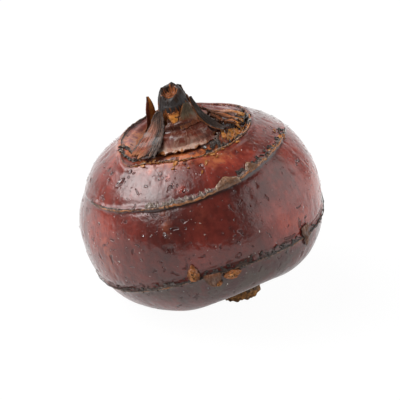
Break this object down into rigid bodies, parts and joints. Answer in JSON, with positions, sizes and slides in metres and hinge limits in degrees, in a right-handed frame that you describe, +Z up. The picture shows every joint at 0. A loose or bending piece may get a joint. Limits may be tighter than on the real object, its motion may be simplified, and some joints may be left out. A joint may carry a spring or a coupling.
{
  "type": "water chestnut corm",
  "caption": "Squat edible corm with leaf rings, a broken shoot in torn sheaths, side buds and a root stub, lying on its underside.",
  "frame": {"origin": "middle of the flat spot that the corm rests on, at the height of the surface it lies on", "axes": "+Z up from the surface; the side seen in the picture faces -Y, with +X to its right; the corm's own axis leans 14.3 degrees from +Z towards -X"},
  "size_m": [0.0413, 0.0433, 0.0369],
  "materials": {
    "skin": "wet glossy mahogany skin",
    "shoot": "charcoal, dull, with an orange-brown hollow tip",
    "sheath": "fibrous dark brown with orange edges",
    "strand": "fibrous orange-brown",
    "scale": "papery brown, half gloss",
    "bud": "rough orange",
    "stub": "black-brown with a tan fibrous end"
  },
  "bodies": {
    "root": {"corm_body": "skin", "shoot_bud": "shoot", "sheath_front": "sheath", "sheath_left": "sheath", "sheath_right": "sheath", "sheath_back": "sheath", "sheath_sliver": "sheath", "strand_back": "strand", "strand_middle": "strand", "strand_front": "strand", "scale_shoulder": "scale", "scale_lower": "scale", "scale_lower_right": "scale", "side_bud_left": "bud", "side_bud_right": "bud", "root_stub": "stub"}
  },
  "joints": []
}
